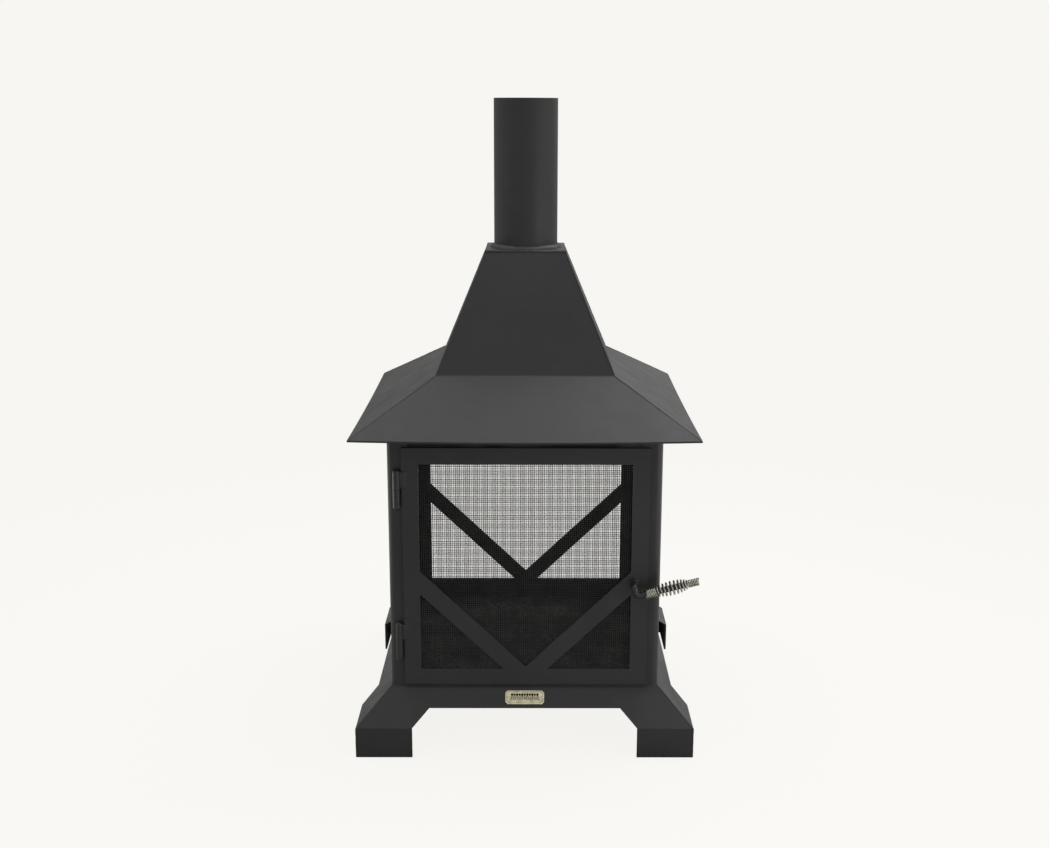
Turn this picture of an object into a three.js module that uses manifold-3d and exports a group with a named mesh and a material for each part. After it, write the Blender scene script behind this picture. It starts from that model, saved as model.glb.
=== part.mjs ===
// A welded steel garden chiminea: a square firebox on a splayed four-footed base, a bent sheet
// roof and hood, a flue pipe, a hinged mesh door with a turning spring-handled latch, and a fixed
// mesh rear window. Millimetres, +Z up, +X to the right, -Y to the front. The origin is on the
// ground under the axis of the pipe.
import * as THREE from "three";
import { mergeVertices } from "three/addons/utils/BufferGeometryUtils.js";
import Module from "manifold-3d";

const wasm = await Module();
wasm.setup();

// ---- Driving dimensions ----------------------------------------------------------------------
const GAP = 0.3; // welded or resting pieces keep this much between their faces

const PIPE_OUTER_D = 127;
const PIPE_WALL = 3;
const PIPE_TOP_Z = 1250;
const PIPE_INSERTION = 12; // how far the pipe reaches down through the cap

const EAVE = 655.5; // side of the square roof
const EAVE_Z = 635.6;
const HOOD_BASE = 347.5; // side of the square where the roof bends up into the hood
const HOOD_BASE_Z = 727;
const HOOD_TOP = 160;
const HOOD_TOP_Z = 954.5;
const ROOF_SHEET = 3;
const CAP_THICKNESS = 5;
const CAP_EDGE_RADIUS = 2;

const FIREBOX = 526; // side of the square firebox
const FIREBOX_SHEET = 3;
const FIREBOX_BEND_RADIUS = 14;
const OPENING_HALF_W = 224; // between the flanges at the front and at the rear
const FRONT_SILL_Z = 147.4; // tops of the strips below the two openings
const REAR_SILL_Z = 158;
const FRONT_HEADER_Z = 604;
const REAR_HEADER_Z = 592;
const FLOOR_TOP_Z = 120;
const FLOOR_THICKNESS = 4;
const FLOOR_SIDE = 516;
const FLOOR_CORNER = 12; // cut off each corner, to clear the bends of the firebox and the base

const BASE = 656; // side of the square that the feet stand on
const BASE_SHEET = 4;
const SKIRT_TOP_Z = 123;
const FOOT_BEND_Z = 61;
const FOOT_LENGTH = 109.5; // along each side, from the corner
const ARCH_TOP_Z = 89.7;
const ARCH_CORNER = 32; // the arch's diagonal corner, measured along the side

const DOOR_LEFT_X = -234.8;
const DOOR_RIGHT_X = 238.7;
const DOOR_BOTTOM_Z = 128.3;
const DOOR_TOP_Z = 606.9;
const DOOR_BAR = 31.9;
const DOOR_LATCH_BAR = 33.3;
const DOOR_PLATE = 4;
const DOOR_STANDOFF = 2; // from the firebox flanges to the back of the door plate
const BRACE_WIDTH = 33;
const BRACE_ANGLE = THREE.MathUtils.degToRad(43.7);
const DOOR_BRACE_APEX_Z = 165; // where the upper edges of the two braces meet

const REAR_FRAME_HALF_W = 244;
const REAR_WINDOW_HALF_W = 220;
const REAR_WINDOW_BOTTOM_Z = 158.8;
const REAR_BRACE_WIDTH = 32.4;
const REAR_BRACE_APEX_Z = 178.4;

const MESH_THICKNESS = 1.7; // two crossing wires
const MESH_OVERLAP = 10; // of the mesh behind the door's bars
const MESH_BAR_WIDTH = 8;
const MESH_BAR_THICKNESS = 3;
const REAR_MESH_INSET = 6;

const HINGE_X = -244.3;
const HINGE_RADIUS = 7;
const HINGE_HALF_LENGTH = 40;
const HINGE_DOME = 5;
const HINGE_MIDDLES_Z = { lower: 217.6, upper: 526 };
const PIN_RADIUS = 4;
const PIN_HALF_LENGTH = 28;

const LATCH_X = 209.5;
const LATCH_Z = 339.9;
const ROD_RADIUS = 6;
const ROD_BEND_RADIUS = 7.5;
const ROD_FRONT_Y = -295; // the centre line of the rod where it hangs in front of the door
const ROD_DROP = 19.7;
const ROD_END_SHORT = 7; // the rod ends this far before the grip's outer close-wound part
const HANDLE_RISE = THREE.MathUtils.degToRad(14.5);
const BUSH_RADIUS = 9.1;
const BUSH_PROUD = 12; // of the door's face
const TONGUE_LENGTH = 24;
const TONGUE_WIDTH = 10;
const TONGUE_THICKNESS = 4;
const TONGUE_Y = -256.4; // the middle of its thickness, behind the front flanges
const TONGUE_RISE = THREE.MathUtils.degToRad(78);

const GRIP_START = 18.6; // along the handle from its bend
const GRIP_TIGHT_IN = 19.5;
const GRIP_OPEN = 64.5;
const GRIP_TIGHT_OUT = 20.2;
const GRIP_WIRE_D = 2.9;
const GRIP_TIGHT_PITCH = 3.1;
const GRIP_OPEN_TURNS = 10;
const GRIP_IN_RADIUS = ROD_RADIUS + 0.35 + GRIP_WIRE_D / 2;
const GRIP_BULGE_RADIUS = 12.8;
const GRIP_OUT_RADIUS = 6.2;

const PLATE_W = 76.5;
const PLATE_H = 28.8;
const PLATE_CHAMFER = 4.6;
const PLATE_THICKNESS = 1.5;
const PLATE_DOWN_SLOPE = 25.9; // from the top of the skirt to the middle of the nameplate
const RIVET_RADIUS = 2;
const RIVET_FROM_EDGE = 4.2;

// ---- Worked out from them --------------------------------------------------------------------
const SIDES = ["front", "right", "rear", "left"]; // in quarter turns from the front
const FRONT_Y = -FIREBOX / 2;
const DOOR_BACK_Y = FRONT_Y - DOOR_STANDOFF;
const DOOR_FACE_Y = DOOR_BACK_Y - DOOR_PLATE;
const HINGE_Y = FRONT_Y - GAP - HINGE_RADIUS;
const CAP_TOP_Z = HOOD_TOP_Z + GAP + CAP_THICKNESS;
const HANDLE_DIRECTION = new THREE.Vector3(Math.cos(HANDLE_RISE), 0, Math.sin(HANDLE_RISE));
const DROP_DIRECTION = new THREE.Vector3(Math.sin(HANDLE_RISE), 0, -Math.cos(HANDLE_RISE));

// ---- Materials -------------------------------------------------------------------------------
const paint = new THREE.MeshStandardMaterial({ color: 0x38393b, roughness: 0.55, metalness: 0.3 });
const hotPaint = new THREE.MeshStandardMaterial({ color: 0x262626, roughness: 0.8, metalness: 0.2 });
const wire = new THREE.MeshStandardMaterial({ color: 0x202021, roughness: 0.6, metalness: 0.5 });
const nickel = new THREE.MeshStandardMaterial({ color: 0xb9b6a9, roughness: 0.3, metalness: 1 });
const brass = new THREE.MeshStandardMaterial({ color: 0xb0a67e, roughness: 0.45, metalness: 1 });

// ---- Helpers ---------------------------------------------------------------------------------
const chiminea = new THREE.Group();

function addMesh(name, geometry, material, parent = chiminea) {
  const mesh = new THREE.Mesh(geometry, material);
  mesh.name = name;
  parent.add(mesh);
  return mesh;
}

function toSolid(geometry) {
  const bare = geometry.clone();
  bare.deleteAttribute("normal");
  bare.deleteAttribute("uv");
  const merged = mergeVertices(bare, 1e-4);
  return new wasm.Manifold(
    new wasm.Mesh({
      numProp: 3,
      vertProperties: new Float32Array(merged.attributes.position.array),
      triVerts: new Uint32Array(merged.index.array),
    }),
  );
}

function toGeometry(solid) {
  const mesh = solid.getMesh();
  const geometry = new THREE.BufferGeometry();
  geometry.setAttribute("position", new THREE.BufferAttribute(mesh.vertProperties, 3));
  geometry.setIndex(new THREE.BufferAttribute(mesh.triVerts, 1));
  const faceted = geometry.toNonIndexed();
  faceted.computeVertexNormals();
  return faceted;
}

const cut = (geometry, tool) => toGeometry(toSolid(geometry).subtract(toSolid(tool)));
const join = (one, other) => toGeometry(toSolid(one).add(toSolid(other)));
const common = (one, other) => toGeometry(toSolid(one).intersect(toSolid(other)));

function outline(points) {
  return new THREE.Shape(points.map(([x, y]) => new THREE.Vector2(x, y)));
}

function rectanglePoints(left, right, bottom, top) {
  return [
    [left, bottom],
    [right, bottom],
    [right, top],
    [left, top],
  ];
}

// An outline in X and Z becomes an upright plate, whose rear face lies at rearY.
function uprightPlate(shape, thickness, rearY) {
  const geometry = new THREE.ExtrudeGeometry(shape, { depth: thickness, bevelEnabled: false });
  return geometry.rotateX(Math.PI / 2).translate(0, rearY, 0);
}

// The same plate with openings cut through it, each given by its corner points.
function openedPlate(shape, openings, thickness, rearY) {
  let geometry = uprightPlate(shape, thickness, rearY);
  for (const points of openings) {
    geometry = cut(geometry, uprightPlate(outline(points), 3 * thickness, rearY + thickness));
  }
  return geometry;
}

// An outline in X and Y becomes a level plate or an upright channel, from bottomZ upwards.
function levelPlate(shape, height, bottomZ, curveSegments = 8) {
  const settings = { depth: height, bevelEnabled: false, curveSegments };
  return new THREE.ExtrudeGeometry(shape, settings).translate(0, 0, bottomZ);
}

function turned(profile, segments) {
  const points = profile.map(([radius, height]) => new THREE.Vector2(radius, height));
  return new THREE.LatheGeometry(points, segments).rotateX(Math.PI / 2);
}

function rodAlongY(radius, fromY, toY, x, z, segments = 32) {
  const geometry = new THREE.CylinderGeometry(radius, radius, toY - fromY, segments);
  return geometry.translate(0, (fromY + toY) / 2, 0).translate(x, 0, z);
}

// The line through two points, moved sideways by a distance to its right-hand side.
function shiftedLine([ax, ay], [bx, by], distance) {
  const length = Math.hypot(bx - ax, by - ay);
  const [nx, ny] = [((by - ay) / length) * distance, (-(bx - ax) / length) * distance];
  return { point: [ax + nx, ay + ny], direction: [(bx - ax) / length, (by - ay) / length] };
}

function meeting(first, second) {
  const [px, py] = first.point;
  const [ux, uy] = first.direction;
  const [qx, qy] = second.point;
  const [vx, vy] = second.direction;
  const along = ((qx - px) * vy - (qy - py) * vx) / (ux * vy - uy * vx);
  return [px + ux * along, py + uy * along];
}

// The closed section of a sheet bent once: the outer line given bottom first, the sheet's
// thickness to its inner side, and the direction in which each end is cut.
function bentSection(outer, thickness, bottomCut, topCut) {
  const lower = shiftedLine(outer[0], outer[1], -thickness);
  const upper = shiftedLine(outer[1], outer[2], -thickness);
  const inner = [
    meeting({ point: outer[0], direction: bottomCut }, lower),
    meeting(lower, upper),
    meeting(upper, { point: outer[2], direction: topCut }),
  ];
  return [...outer, ...inner.reverse()];
}

// A section in distance-from-centre and height, run across one side of a square body, so that
// its ends lie on the diagonals.
function mitredPanel(section) {
  const clockwise = THREE.ShapeUtils.isClockWise(section.map(([x, y]) => ({ x, y })));
  const ordered = clockwise ? [...section].reverse() : section;
  const geometry = new THREE.ExtrudeGeometry(outline(ordered), { depth: 1, bevelEnabled: false });
  const position = geometry.attributes.position;
  for (let i = 0; i < position.count; i++) {
    const distance = position.getX(i);
    const side = position.getZ(i) > 0.5 ? -1 : 1;
    position.setXYZ(i, side * (distance - GAP / 2), -distance, position.getY(i));
  }
  geometry.computeVertexNormals();
  return geometry;
}

// The outline of the two braces that run from the sides of a window down to the middle of its
// bottom edge, split into the three openings that they leave.
function bracedOpenings(left, right, bottom, top, apexZ, braceWidth) {
  const middle = (left + right) / 2;
  const slope = Math.tan(BRACE_ANGLE);
  const drop = braceWidth / Math.cos(BRACE_ANGLE);
  const upperZ = apexZ + slope * (right - middle);
  const lowerZ = upperZ - drop;
  const run = (lowerZ - bottom) / slope;
  return [
    [
      [left, upperZ],
      [middle, apexZ],
      [right, upperZ],
      [right, top],
      [left, top],
    ],
    [
      [left, bottom],
      [left + run, bottom],
      [left, lowerZ],
    ],
    [
      [right - run, bottom],
      [right, bottom],
      [right, lowerZ],
    ],
  ];
}

// ---- Roof, hood and pipe ---------------------------------------------------------------------
function roofSection() {
  const outer = [
    [EAVE / 2, EAVE_Z],
    [HOOD_BASE / 2, HOOD_BASE_Z],
    [HOOD_TOP / 2, HOOD_TOP_Z],
  ];
  return bentSection(outer, ROOF_SHEET, [0, 1], [1, 0]);
}

function addHoodPanels() {
  for (const [quarterTurns, side] of SIDES.entries()) {
    const panel = mitredPanel(roofSection()).rotateZ((quarterTurns * Math.PI) / 2);
    addMesh("hood_panel_" + side, panel, paint);
  }
}

function addCap() {
  const half = HOOD_TOP / 2 - CAP_EDGE_RADIUS;
  const shape = outline(rectanglePoints(-half, half, -half, half));
  const hole = new THREE.Path();
  hole.absarc(0, 0, PIPE_OUTER_D / 2 + GAP + CAP_EDGE_RADIUS, 0, 2 * Math.PI, true);
  shape.holes.push(hole);
  const geometry = new THREE.ExtrudeGeometry(shape, {
    depth: CAP_THICKNESS - 2 * CAP_EDGE_RADIUS,
    bevelSize: CAP_EDGE_RADIUS,
    bevelThickness: CAP_EDGE_RADIUS,
    bevelSegments: 3,
    curveSegments: 24,
  });
  geometry.translate(0, 0, HOOD_TOP_Z + GAP + CAP_EDGE_RADIUS);
  addMesh("hood_cap", geometry, paint);
}

function addPipe() {
  const outer = PIPE_OUTER_D / 2;
  const inner = outer - PIPE_WALL;
  const bottom = CAP_TOP_Z - PIPE_INSERTION;
  const profile = [
    [inner, bottom],
    [outer, bottom],
    [outer, PIPE_TOP_Z],
    [inner, PIPE_TOP_Z],
    [inner, bottom],
  ];
  addMesh("chimney_pipe", turned(profile, 64), paint);
}

// ---- Firebox ---------------------------------------------------------------------------------
// Everything under the sloping roof panels, as the common part of two gabled prisms.
function gable() {
  const section = roofSection().slice(-2);
  const clearance = GAP / Math.cos(Math.atan2(HOOD_BASE_Z - EAVE_Z, (EAVE - HOOD_BASE) / 2));
  const [[bendX, bendZ], [eaveX, eaveZ]] = section.map(([x, z]) => [x, z - clearance]);
  const points = [
    [-eaveX, SKIRT_TOP_Z],
    [eaveX, SKIRT_TOP_Z],
    [eaveX, eaveZ],
    [bendX, bendZ],
    [-bendX, bendZ],
    [-eaveX, eaveZ],
  ];
  return uprightPlate(outline(points), EAVE, EAVE / 2);
}

function underRoof(geometry) {
  return common(common(geometry, gable()), gable().rotateZ(Math.PI / 2));
}

function channelOutline() {
  const half = FIREBOX / 2;
  const outerR = FIREBOX_BEND_RADIUS;
  const innerR = outerR - FIREBOX_SHEET;
  const corner = half - outerR;
  const quarter = Math.PI / 2;
  const shape = new THREE.Shape();
  shape.moveTo(OPENING_HALF_W, -half);
  shape.lineTo(corner, -half);
  shape.absarc(corner, -corner, outerR, -quarter, 0, false);
  shape.absarc(corner, corner, outerR, 0, quarter, false);
  shape.lineTo(OPENING_HALF_W, half);
  shape.lineTo(OPENING_HALF_W, half - FIREBOX_SHEET);
  shape.absarc(corner, corner, innerR, quarter, 0, true);
  shape.absarc(corner, -corner, innerR, 0, -quarter, true);
  shape.lineTo(OPENING_HALF_W, -half + FIREBOX_SHEET);
  shape.closePath();
  return shape;
}

function addFireboxSides() {
  const height = HOOD_BASE_Z - SKIRT_TOP_Z;
  for (const [side, turn] of [["right", 0], ["left", Math.PI]]) {
    const channel = levelPlate(channelOutline(), height, SKIRT_TOP_Z + GAP, 6).rotateZ(turn);
    addMesh("firebox_side_" + side, underRoof(channel), paint);
  }
}

function addSillsAndHeaders() {
  const half = OPENING_HALF_W - GAP;
  const places = [
    ["front", FRONT_Y + FIREBOX_SHEET, FRONT_SILL_Z, FRONT_HEADER_Z],
    ["rear", -FRONT_Y, REAR_SILL_Z, REAR_HEADER_Z],
  ];
  for (const [end, rearY, sillZ, headerZ] of places) {
    const sill = outline(rectanglePoints(-half, half, SKIRT_TOP_Z + GAP, sillZ));
    addMesh("sill_" + end, uprightPlate(sill, FIREBOX_SHEET, rearY), paint);
    const header = outline(rectanglePoints(-half, half, headerZ, HOOD_BASE_Z));
    addMesh("header_" + end, underRoof(uprightPlate(header, FIREBOX_SHEET, rearY)), paint);
  }
}

// The floor lies inside the top edges of the base, just below the firebox.
function addFloor() {
  const half = FLOOR_SIDE / 2;
  const short = half - FLOOR_CORNER;
  const points = [
    [-short, -half],
    [short, -half],
    [half, -short],
    [half, short],
    [short, half],
    [-short, half],
    [-half, short],
    [-half, -short],
  ];
  const plate = levelPlate(outline(points), FLOOR_THICKNESS, FLOOR_TOP_Z - FLOOR_THICKNESS);
  addMesh("floor_plate", plate, hotPaint);
}

function addRearWindow() {
  const meshRearY = -FRONT_Y + GAP + MESH_THICKNESS;
  const [halfW, inset] = [REAR_FRAME_HALF_W, REAR_MESH_INSET];
  const meshShape = outline(
    rectanglePoints(-halfW + inset, halfW - inset, DOOR_BOTTOM_Z + inset, DOOR_TOP_Z - inset),
  );
  addMesh("rear_mesh", uprightPlate(meshShape, MESH_THICKNESS, meshRearY), wire);

  const openings = bracedOpenings(
    -REAR_WINDOW_HALF_W,
    REAR_WINDOW_HALF_W,
    REAR_WINDOW_BOTTOM_Z,
    DOOR_TOP_Z - DOOR_BAR,
    REAR_BRACE_APEX_Z,
    REAR_BRACE_WIDTH,
  );
  const outer = outline(rectanglePoints(-halfW, halfW, DOOR_BOTTOM_Z, DOOR_TOP_Z));
  const rearY = meshRearY + GAP + DOOR_PLATE;
  addMesh("rear_frame", openedPlate(outer, openings, DOOR_PLATE, rearY), paint);
}

// ---- Base ------------------------------------------------------------------------------------
function archTool() {
  const feet = BASE / 2 - FOOT_LENGTH;
  const top = feet - ARCH_CORNER;
  const points = [
    [-feet, -10],
    [feet, -10],
    [feet, FOOT_BEND_Z],
    [top, ARCH_TOP_Z],
    [-top, ARCH_TOP_Z],
    [-feet, FOOT_BEND_Z],
  ];
  return uprightPlate(outline(points), BASE, 0);
}

function addBase() {
  const outer = [
    [BASE / 2, 0],
    [BASE / 2, FOOT_BEND_Z],
    [FIREBOX / 2, SKIRT_TOP_Z],
  ];
  const section = bentSection(outer, BASE_SHEET, [1, 0], [1, 0]);
  for (const [quarterTurns, side] of SIDES.entries()) {
    const panel = cut(mitredPanel(section), archTool()).rotateZ((quarterTurns * Math.PI) / 2);
    addMesh("base_skirt_" + side, panel, paint);
  }
}

function addNameplate() {
  const slope = Math.atan2(SKIRT_TOP_Z - FOOT_BEND_Z, (BASE - FIREBOX) / 2);
  const mount = new THREE.Group();
  mount.position.set(
    0,
    FRONT_Y - PLATE_DOWN_SLOPE * Math.cos(slope),
    SKIRT_TOP_Z - PLATE_DOWN_SLOPE * Math.sin(slope),
  );
  mount.rotation.x = slope;
  chiminea.add(mount);

  const [halfW, halfH, chamfer] = [PLATE_W / 2, PLATE_H / 2, PLATE_CHAMFER];
  const shape = outline([
    [-halfW + chamfer, -halfH],
    [halfW - chamfer, -halfH],
    [halfW, -halfH + chamfer],
    [halfW, halfH - chamfer],
    [halfW - chamfer, halfH],
    [-halfW + chamfer, halfH],
    [-halfW, halfH - chamfer],
    [-halfW, -halfH + chamfer],
  ]);
  addMesh("nameplate", levelPlate(shape, PLATE_THICKNESS, GAP), brass, mount);

  const head = [
    [0, 0],
    [RIVET_RADIUS, 0],
    [RIVET_RADIUS * 0.92, 0.5],
    [RIVET_RADIUS * 0.6, 0.95],
    [0, 1.15],
  ];
  for (const [side, sign] of [["left", -1], ["right", 1]]) {
    const rivet = turned(head, 12);
    rivet.translate(sign * (halfW - RIVET_FROM_EDGE), 0, PLATE_THICKNESS + 2 * GAP);
    addMesh("nameplate_rivet_" + side, rivet, brass, mount);
  }
}

// ---- Door ------------------------------------------------------------------------------------
const DOOR_WINDOW = {
  left: DOOR_LEFT_X + DOOR_BAR,
  right: DOOR_RIGHT_X - DOOR_LATCH_BAR,
  bottom: DOOR_BOTTOM_Z + DOOR_BAR,
  top: DOOR_TOP_Z - DOOR_BAR,
};

function addDoorFrame() {
  const { left, right, bottom, top } = DOOR_WINDOW;
  const openings = bracedOpenings(left, right, bottom, top, DOOR_BRACE_APEX_Z, BRACE_WIDTH);
  const outer = outline(rectanglePoints(DOOR_LEFT_X, DOOR_RIGHT_X, DOOR_BOTTOM_Z, DOOR_TOP_Z));
  const plate = openedPlate(outer, openings, DOOR_PLATE, DOOR_BACK_Y);
  const bushHole = rodAlongY(BUSH_RADIUS + GAP, DOOR_FACE_Y - 5, DOOR_BACK_Y + 5, LATCH_X, LATCH_Z);
  addMesh("door_frame", cut(plate, bushHole), paint);
}

function addDoorMesh() {
  const { left, right, bottom, top } = DOOR_WINDOW;
  const [meshLeft, meshRight] = [left - MESH_OVERLAP, right + MESH_OVERLAP];
  const [meshBottom, meshTop] = [bottom - MESH_OVERLAP, top + MESH_OVERLAP];
  const rearY = DOOR_BACK_Y + GAP + MESH_THICKNESS;
  const shape = outline(rectanglePoints(meshLeft, meshRight, meshBottom, meshTop));
  const rodHole = rodAlongY(ROD_RADIUS + 2, DOOR_FACE_Y, rearY + 5, LATCH_X, LATCH_Z, 16);
  addMesh("door_mesh", cut(uprightPlate(shape, MESH_THICKNESS, rearY), rodHole), wire);

  const barRearY = rearY + GAP + MESH_BAR_THICKNESS;
  const [width, rodRoom] = [MESH_BAR_WIDTH, ROD_RADIUS + 3];
  const [lowZ, highZ] = [meshBottom + width + GAP, meshTop - width - GAP];
  const bars = {
    top: [meshLeft, meshRight, meshTop - width, meshTop],
    bottom: [meshLeft, meshRight, meshBottom, meshBottom + width],
    left: [meshLeft, meshLeft + width, lowZ, highZ],
    right_lower: [meshRight - width, meshRight, lowZ, LATCH_Z - rodRoom],
    right_upper: [meshRight - width, meshRight, LATCH_Z + rodRoom, highZ],
  };
  for (const [place, corners] of Object.entries(bars)) {
    const bar = uprightPlate(outline(rectanglePoints(...corners)), MESH_BAR_THICKNESS, barRearY);
    addMesh("door_mesh_bar_" + place, bar, paint);
  }
}

// A hinge barrel with a domed outer end and a blind bore in its flat inner end, standing on Z = 0
// at its flat end and pointing up.
function barrel() {
  const length = HINGE_HALF_LENGTH - GAP / 2;
  const shoulder = length - HINGE_DOME;
  const bore = PIN_RADIUS + GAP;
  const dome = [1, 2, 3].map((step) => {
    const angle = (step * Math.PI) / 8;
    return [HINGE_RADIUS * Math.cos(angle), shoulder + HINGE_DOME * Math.sin(angle)];
  });
  const profile = [
    [0, PIN_HALF_LENGTH + GAP],
    [bore, PIN_HALF_LENGTH + GAP],
    [bore, 0],
    [HINGE_RADIUS, 0],
    [HINGE_RADIUS, shoulder],
    ...dome,
    [0, length],
  ];
  return turned(profile, 24);
}

// The fillet that joins a door barrel to the edge of the door plate.
function weldTab() {
  const [left, right] = [HINGE_X + HINGE_RADIUS - 2, DOOR_LEFT_X - GAP];
  const shape = outline(rectanglePoints(left, right, 2, HINGE_HALF_LENGTH - HINGE_DOME));
  return uprightPlate(shape, DOOR_PLATE - 1, DOOR_BACK_Y - 0.5).translate(-HINGE_X, -HINGE_Y, 0);
}

function addHinges() {
  for (const [level, middleZ] of Object.entries(HINGE_MIDDLES_Z)) {
    const doorBarrel = join(barrel(), weldTab());
    doorBarrel.translate(HINGE_X, HINGE_Y, middleZ + GAP / 2);
    addMesh("hinge_door_barrel_" + level, doorBarrel, paint);

    const frameBarrel = barrel().rotateX(Math.PI);
    frameBarrel.translate(HINGE_X, HINGE_Y, middleZ - GAP / 2);
    addMesh("hinge_frame_barrel_" + level, frameBarrel, paint);

    const pinEnd = PIN_HALF_LENGTH - GAP;
    const profile = [
      [0, -pinEnd],
      [PIN_RADIUS, -pinEnd],
      [PIN_RADIUS, pinEnd],
      [0, pinEnd],
    ];
    const pin = turned(profile, 24).translate(HINGE_X, HINGE_Y, middleZ);
    addMesh("hinge_pin_" + level, pin, nickel);
  }
}

// ---- Latch -----------------------------------------------------------------------------------
// A curve through straight runs joined by round bends: the corners are given, and each inner one
// is replaced by an arc of one radius.
class BentRodCurve extends THREE.Curve {
  constructor(corners, bendRadius) {
    super();
    this.runs = [];
    let start = corners[0];
    for (let i = 1; i < corners.length - 1; i++) {
      const into = corners[i].clone().sub(corners[i - 1]).normalize();
      const out = corners[i + 1].clone().sub(corners[i]).normalize();
      const turn = into.angleTo(out);
      const setback = bendRadius * Math.tan(turn / 2);
      const bendStart = corners[i].clone().addScaledVector(into, -setback);
      const bendEnd = corners[i].clone().addScaledVector(out, setback);
      this.runs.push({ length: start.distanceTo(bendStart), start, along: into });
      this.runs.push({ length: bendRadius * turn, start: bendStart, along: into, out, turn });
      start = bendEnd;
    }
    const end = corners[corners.length - 1];
    const along = end.clone().sub(start).normalize();
    this.runs.push({ length: start.distanceTo(end), start, along });
    this.bendRadius = bendRadius;
    this.total = this.runs.reduce((sum, run) => sum + run.length, 0);
  }

  getPoint(t, target = new THREE.Vector3()) {
    let distance = t * this.total;
    let index = 0;
    while (index < this.runs.length - 1 && distance > this.runs[index].length) {
      distance -= this.runs[index].length;
      index += 1;
    }
    const run = this.runs[index];
    if (!run.turn) return target.copy(run.start).addScaledVector(run.along, distance);
    const angle = distance / this.bendRadius;
    const sideways = run.out.clone().addScaledVector(run.along, -run.along.dot(run.out));
    sideways.normalize();
    return target
      .copy(run.start)
      .addScaledVector(run.along, this.bendRadius * Math.sin(angle))
      .addScaledVector(sideways, this.bendRadius * (1 - Math.cos(angle)));
  }
}

// The wire of the grip: a helix about +X, close-wound at both ends and barrel-shaped between.
class GripCurve extends THREE.Curve {
  constructor() {
    super();
    this.turnsIn = GRIP_TIGHT_IN / GRIP_TIGHT_PITCH;
    this.turnsOut = GRIP_TIGHT_OUT / GRIP_TIGHT_PITCH;
    this.turns = this.turnsIn + GRIP_OPEN_TURNS + this.turnsOut;
  }

  place(turn) {
    const open = THREE.MathUtils.clamp((turn - this.turnsIn) / GRIP_OPEN_TURNS, 0, 1);
    const tightTurns = Math.min(turn, this.turnsIn) + Math.max(0, turn - this.turnsIn - GRIP_OPEN_TURNS);
    const bulge = Math.sin(Math.PI * open);
    const ends = THREE.MathUtils.lerp(GRIP_IN_RADIUS, GRIP_OUT_RADIUS, open);
    const middle = (GRIP_IN_RADIUS + GRIP_OUT_RADIUS) / 2;
    // The coils stand widest apart a little before the middle, and close up at both ends.
    const spread = open - 0.03 * Math.sin(2 * Math.PI * open) + 0.04 * bulge;
    return {
      along: tightTurns * GRIP_TIGHT_PITCH + spread * GRIP_OPEN,
      radius: ends + bulge * (GRIP_BULGE_RADIUS - middle),
    };
  }

  getPoint(t, target = new THREE.Vector3()) {
    const turn = t * this.turns;
    const { along, radius } = this.place(turn);
    const angle = 2 * Math.PI * turn;
    return target.set(along, radius * Math.cos(angle), radius * Math.sin(angle));
  }
}

function roundSection(radius, sides) {
  const shape = new THREE.Shape();
  for (let i = 0; i < sides; i++) {
    const angle = (2 * Math.PI * i) / sides;
    const [x, y] = [radius * Math.cos(angle), radius * Math.sin(angle)];
    if (i === 0) shape.moveTo(x, y);
    else shape.lineTo(x, y);
  }
  shape.closePath();
  return shape;
}

function alongCurve(curve, radius, sides, steps) {
  return new THREE.ExtrudeGeometry(roundSection(radius, sides), { steps, extrudePath: curve });
}

function handlePoint(distance) {
  return new THREE.Vector3(LATCH_X, ROD_FRONT_Y, LATCH_Z)
    .addScaledVector(DROP_DIRECTION, ROD_DROP)
    .addScaledVector(HANDLE_DIRECTION, distance);
}

function addLatchRod() {
  const tongueFrontY = TONGUE_Y - TONGUE_THICKNESS / 2;
  const corners = [
    new THREE.Vector3(LATCH_X, tongueFrontY - GAP, LATCH_Z),
    new THREE.Vector3(LATCH_X, ROD_FRONT_Y, LATCH_Z),
    handlePoint(0),
    handlePoint(GRIP_START + GRIP_TIGHT_IN + GRIP_OPEN - ROD_END_SHORT),
  ];
  const rod = alongCurve(new BentRodCurve(corners, ROD_BEND_RADIUS), ROD_RADIUS, 16, 64);
  addMesh("latch_rod", rod, paint);
}

function addTongue() {
  const half = TONGUE_WIDTH / 2;
  const shape = new THREE.Shape();
  shape.moveTo(0, -ROD_RADIUS);
  shape.lineTo(TONGUE_LENGTH - half, -half);
  shape.absarc(TONGUE_LENGTH - half, 0, half, -Math.PI / 2, Math.PI / 2, false);
  shape.lineTo(0, ROD_RADIUS);
  shape.absarc(0, 0, ROD_RADIUS, Math.PI / 2, (3 * Math.PI) / 2, false);
  const settings = { depth: TONGUE_THICKNESS, bevelEnabled: false, curveSegments: 8 };
  const tongue = new THREE.ExtrudeGeometry(shape, settings);
  tongue.rotateZ(TONGUE_RISE).rotateX(Math.PI / 2);
  tongue.translate(LATCH_X, TONGUE_Y + TONGUE_THICKNESS / 2, LATCH_Z);
  addMesh("latch_tongue", tongue, paint);
}

function addBush() {
  const frontY = DOOR_FACE_Y - BUSH_PROUD;
  const outer = rodAlongY(BUSH_RADIUS, frontY, DOOR_BACK_Y, LATCH_X, LATCH_Z);
  const bore = rodAlongY(ROD_RADIUS + GAP, frontY - 5, DOOR_BACK_Y + 5, LATCH_X, LATCH_Z);
  addMesh("latch_bush", cut(outer, bore), paint);
}

function addGrip() {
  const curve = new GripCurve();
  const grip = alongCurve(curve, GRIP_WIRE_D / 2, 6, Math.round(curve.turns * 12));
  const mount = new THREE.Group();
  mount.position.copy(handlePoint(GRIP_START));
  mount.rotation.y = -HANDLE_RISE;
  chiminea.add(mount);
  addMesh("spring_grip", grip, nickel, mount);
}

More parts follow.
